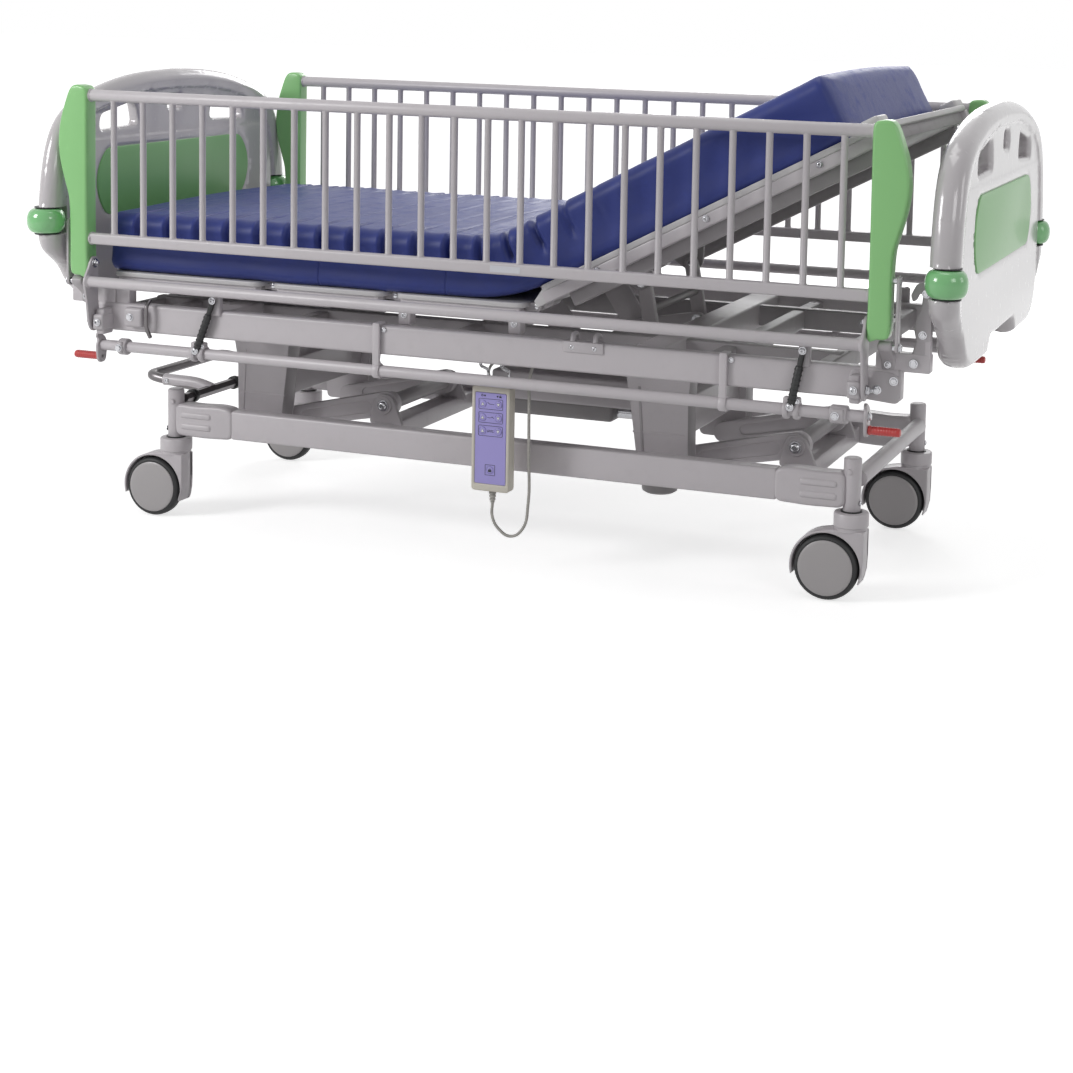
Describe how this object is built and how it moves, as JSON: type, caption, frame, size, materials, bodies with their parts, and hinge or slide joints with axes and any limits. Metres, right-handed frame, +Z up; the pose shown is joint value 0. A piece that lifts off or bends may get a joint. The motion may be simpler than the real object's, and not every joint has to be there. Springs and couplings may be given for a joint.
{
  "type": "electric youth bed",
  "caption": "Electric youth hospital bed on swivel casters with hinged back and knee sections, fold-down side guards, end boards with bumper rollers and a corded hand control.",
  "frame": {"origin": "on the floor under the middle of the bed's outer box, the cord not counted", "axes": "+X to the head board, +Z up, near long side at -Y"},
  "size_m": [1.943, 0.9638, 0.9993],
  "materials": {
    "grey powder coat": "satin",
    "dark steel": "satin",
    "green plastic": "gloss",
    "grey board plastic": "gloss",
    "blue cover": "matt",
    "black tyre": "matt",
    "pale deck laminate": "satin",
    "beige shell": "satin",
    "lilac key": "matt",
    "grey cord": "matt",
    "motor grey": "satin"
  },
  "bodies": {
    "base": {"base_rail_near": "grey powder coat", "base_rail_far": "grey powder coat", "base_head_tube": "grey powder coat", "base_cross_head": "grey powder coat", "base_cross_foot": "grey powder coat"},
    "brake": {"brake_bar": "dark steel"},
    "lift_head": {"lift_arms_head": "grey powder coat"},
    "lift_foot": {"lift_arms_foot": "grey powder coat"},
    "upper_frame": {"main_rail_near": "grey powder coat", "main_rail_far": "grey powder coat", "leg_yoke_head": "grey powder coat", "leg_yoke_foot": "grey powder coat", "drive_beam": "motor grey", "deck_seat": "pale deck laminate", "mattress_seat": "blue cover", "head_board": "grey board plastic", "foot_board": "grey board plastic", "hand_control": "beige shell", "hand_cord": "grey cord"},
    "thigh_section": {"deck_thigh": "pale deck laminate", "mattress_thigh": "blue cover"},
    "leg_section": {"deck_leg": "pale deck laminate", "mattress_leg": "blue cover"},
    "back_section": {"deck_back": "pale deck laminate", "mattress_back": "blue cover"},
    "back_crank": {"back_crank": "grey powder coat"},
    "back_link": {"back_link": "grey powder coat"},
    "fork_foot_near": {"caster_fork_foot_near": "grey powder coat"},
    "wheel_foot_near": {"caster_wheel_foot_near": "black tyre"},
    "fork_foot_far": {"caster_fork_foot_far": "grey powder coat"},
    "wheel_foot_far": {"caster_wheel_foot_far": "black tyre"},
    "fork_head_near": {"caster_fork_head_near": "grey powder coat"},
    "wheel_head_near": {"caster_wheel_head_near": "black tyre"},
    "fork_head_far": {"caster_fork_head_far": "grey powder coat"},
    "wheel_head_far": {"caster_wheel_head_far": "black tyre"},
    "swing_near": {"swing_frame_near": "grey powder coat"},
    "guard_near": {"guard_rail_near": "grey powder coat", "guard_post_foot_near": "green plastic", "guard_post_head_near": "green plastic"},
    "link_arms_near": {"link_arm_foot_near": "grey powder coat", "link_arm_head_near": "grey powder coat"},
    "latch_near": {"latch_shaft_near": "grey powder coat"},
    "swing_far": {"swing_frame_far": "grey powder coat"},
    "guard_far": {"guard_rail_far": "grey powder coat", "guard_post_foot_far": "green plastic", "guard_post_head_far": "green plastic"},
    "link_arms_far": {"link_arm_foot_far": "grey powder coat", "link_arm_head_far": "grey powder coat"},
    "latch_far": {"latch_shaft_far": "grey powder coat"},
    "bumper_foot_near": {"roller_foot_near": "green plastic"},
    "bumper_foot_far": {"roller_foot_far": "green plastic"},
    "bumper_head_near": {"roller_head_near": "green plastic"},
    "bumper_head_far": {"roller_head_far": "green plastic"},
    "press_back_up": {"key_back_up": "lilac key"},
    "press_back_down": {"key_back_down": "lilac key"},
    "press_knee_up": {"key_knee_up": "lilac key"},
    "press_knee_down": {"key_knee_down": "lilac key"},
    "press_height_up": {"key_height_up": "lilac key"},
    "press_height_down": {"key_height_down": "lilac key"},
    "press_lock": {"key_lock": "lilac key"}
  },
  "joints": [
    {"name": "swivel_foot_near", "type": "hinge", "parent": "base", "child": "fork_foot_near", "pos_m": [-0.735, -0.276, 0.168], "axis": [0, 0, 1], "continuous": true},
    {"name": "roll_foot_near", "type": "hinge", "parent": "fork_foot_near", "child": "wheel_foot_near", "pos_m": [-0.775, -0.293, 0.0625], "axis": [0, 1, 0], "continuous": true},
    {"name": "swivel_foot_far", "type": "hinge", "parent": "base", "child": "fork_foot_far", "pos_m": [-0.735, 0.276, 0.168], "axis": [0, 0, 1], "continuous": true},
    {"name": "roll_foot_far", "type": "hinge", "parent": "fork_foot_far", "child": "wheel_foot_far", "pos_m": [-0.775, 0.259, 0.0625], "axis": [0, 1, 0], "continuous": true},
    {"name": "swivel_head_near", "type": "hinge", "parent": "base", "child": "fork_head_near", "pos_m": [0.735, -0.276, 0.168], "axis": [0, 0, 1], "continuous": true},
    {"name": "roll_head_near", "type": "hinge", "parent": "fork_head_near", "child": "wheel_head_near", "pos_m": [0.695, -0.293, 0.0625], "axis": [0, 1, 0], "continuous": true},
    {"name": "swivel_head_far", "type": "hinge", "parent": "base", "child": "fork_head_far", "pos_m": [0.735, 0.276, 0.168], "axis": [0, 0, 1], "continuous": true},
    {"name": "roll_head_far", "type": "hinge", "parent": "fork_head_far", "child": "wheel_head_far", "pos_m": [0.695, 0.259, 0.0625], "axis": [0, 1, 0], "continuous": true},
    {"name": "brake_pedal", "type": "hinge", "parent": "base", "child": "brake", "pos_m": [-0.73, 0, 0.246], "axis": [0, 1, 0], "range_deg": [-20, 20]},
    {"name": "height", "type": "hinge", "parent": "base", "child": "lift_head", "pos_m": [0.59, 0, 0.252], "axis": [0, 1, 0], "range_deg": [-4, 70]},
    {"name": "height_level", "type": "hinge", "parent": "lift_head", "child": "upper_frame", "pos_m": [0.35, 0, 0.201], "axis": [0, 1, 0], "range_deg": [-70, 4]},
    {"name": "height_foot_arms", "type": "hinge", "parent": "base", "child": "lift_foot", "pos_m": [-0.307, 0, 0.252], "axis": [0, 1, 0], "range_deg": [-4, 70]},
    {"name": "back_raise", "type": "hinge", "parent": "upper_frame", "child": "back_section", "pos_m": [0.118, 0, 0.518], "axis": [0, -1, 0], "range_deg": [-27.5, 38.5]},
    {"name": "back_crank_turn", "type": "hinge", "parent": "upper_frame", "child": "back_crank", "pos_m": [0.14, 0, 0.403], "axis": [0, -1, 0], "range_deg": [-27.5, 38.5]},
    {"name": "back_link_turn", "type": "hinge", "parent": "back_crank", "child": "back_link", "pos_m": [0.286, 0, 0.439], "axis": [0, -1, 0], "range_deg": [-38.5, 27.5]},
    {"name": "knee_raise", "type": "hinge", "parent": "upper_frame", "child": "thigh_section", "pos_m": [-0.185, 0, 0.518], "axis": [0, 1, 0], "range_deg": [0, 32]},
    {"name": "leg_follow", "type": "hinge", "parent": "thigh_section", "child": "leg_section", "pos_m": [-0.461, 0, 0.518], "axis": [0, 1, 0], "range_deg": [-56, 0]},
    {"name": "guard_swing_near", "type": "hinge", "parent": "upper_frame", "child": "swing_near", "pos_m": [-0.022, -0.425, 0.43], "axis": [1, 0, 0], "range_deg": [0, 140]},
    {"name": "guard_level_near", "type": "hinge", "parent": "swing_near", "child": "guard_near", "pos_m": [-0.022, -0.425, 0.55], "axis": [1, 0, 0], "range_deg": [-140, 0]},
    {"name": "link_arms_turn_near", "type": "hinge", "parent": "upper_frame", "child": "link_arms_near", "pos_m": [-0.022, -0.425, 0.51], "axis": [1, 0, 0], "range_deg": [0, 140]},
    {"name": "guard_release_near", "type": "hinge", "parent": "upper_frame", "child": "latch_near", "pos_m": [-0.022, -0.4, 0.377], "axis": [-1, 0, 0], "range_deg": [0, 20], "stiffness_Nm_per_rad": 4, "springref_deg": -5.73},
    {"name": "guard_swing_far", "type": "hinge", "parent": "upper_frame", "child": "swing_far", "pos_m": [-0.022, 0.425, 0.43], "axis": [-1, 0, 0], "range_deg": [0, 140]},
    {"name": "guard_level_far", "type": "hinge", "parent": "swing_far", "child": "guard_far", "pos_m": [-0.022, 0.425, 0.55], "axis": [-1, 0, 0], "range_deg": [-140, 0]},
    {"name": "link_arms_turn_far", "type": "hinge", "parent": "upper_frame", "child": "link_arms_far", "pos_m": [-0.022, 0.425, 0.51], "axis": [-1, 0, 0], "range_deg": [0, 140]},
    {"name": "guard_release_far", "type": "hinge", "parent": "upper_frame", "child": "latch_far", "pos_m": [-0.022, 0.4, 0.377], "axis": [1, 0, 0], "range_deg": [0, 20], "stiffness_Nm_per_rad": 4, "springref_deg": -5.73},
    {"name": "bumper_spin_foot_near", "type": "hinge", "parent": "upper_frame", "child": "bumper_foot_near", "pos_m": [-0.933, -0.444, 0.633], "axis": [0, 0, 1], "continuous": true},
    {"name": "bumper_spin_foot_far", "type": "hinge", "parent": "upper_frame", "child": "bumper_foot_far", "pos_m": [-0.933, 0.444, 0.633], "axis": [0, 0, 1], "continuous": true},
    {"name": "bumper_spin_head_near", "type": "hinge", "parent": "upper_frame", "child": "bumper_head_near", "pos_m": [0.933, -0.444, 0.633], "axis": [0, 0, 1], "continuous": true},
    {"name": "bumper_spin_head_far", "type": "hinge", "parent": "upper_frame", "child": "bumper_head_far", "pos_m": [0.933, 0.444, 0.633], "axis": [0, 0, 1], "continuous": true},
    {"name": "press_back_up", "type": "slide", "parent": "upper_frame", "child": "press_back_up", "axis": [0, 1, 0], "range_m": [0, 0.001], "stiffness_N_per_m": 600},
    {"name": "press_back_down", "type": "slide", "parent": "upper_frame", "child": "press_back_down", "axis": [0, 1, 0], "range_m": [0, 0.001], "stiffness_N_per_m": 600},
    {"name": "press_knee_up", "type": "slide", "parent": "upper_frame", "child": "press_knee_up", "axis": [0, 1, 0], "range_m": [0, 0.001], "stiffness_N_per_m": 600},
    {"name": "press_knee_down", "type": "slide", "parent": "upper_frame", "child": "press_knee_down", "axis": [0, 1, 0], "range_m": [0, 0.001], "stiffness_N_per_m": 600},
    {"name": "press_height_up", "type": "slide", "parent": "upper_frame", "child": "press_height_up", "axis": [0, 1, 0], "range_m": [0, 0.001], "stiffness_N_per_m": 600},
    {"name": "press_height_down", "type": "slide", "parent": "upper_frame", "child": "press_height_down", "axis": [0, 1, 0], "range_m": [0, 0.001], "stiffness_N_per_m": 600},
    {"name": "press_lock", "type": "slide", "parent": "upper_frame", "child": "press_lock", "axis": [0, 1, 0], "range_m": [0, 0.001], "stiffness_N_per_m": 600}
  ],
  "couplings": [
    {"joint": "height_level", "follows": "height", "ratio": -1},
    {"joint": "height_foot_arms", "follows": "height", "ratio": 1},
    {"joint": "back_crank_turn", "follows": "back_raise", "ratio": 1},
    {"joint": "back_link_turn", "follows": "back_raise", "ratio": -1},
    {"joint": "leg_follow", "follows": "knee_raise", "ratio": -1.74},
    {"joint": "guard_level_near", "follows": "guard_swing_near", "ratio": -1},
    {"joint": "link_arms_turn_near", "follows": "guard_swing_near", "ratio": 1},
    {"joint": "guard_level_far", "follows": "guard_swing_far", "ratio": -1},
    {"joint": "link_arms_turn_far", "follows": "guard_swing_far", "ratio": 1}
  ]
}
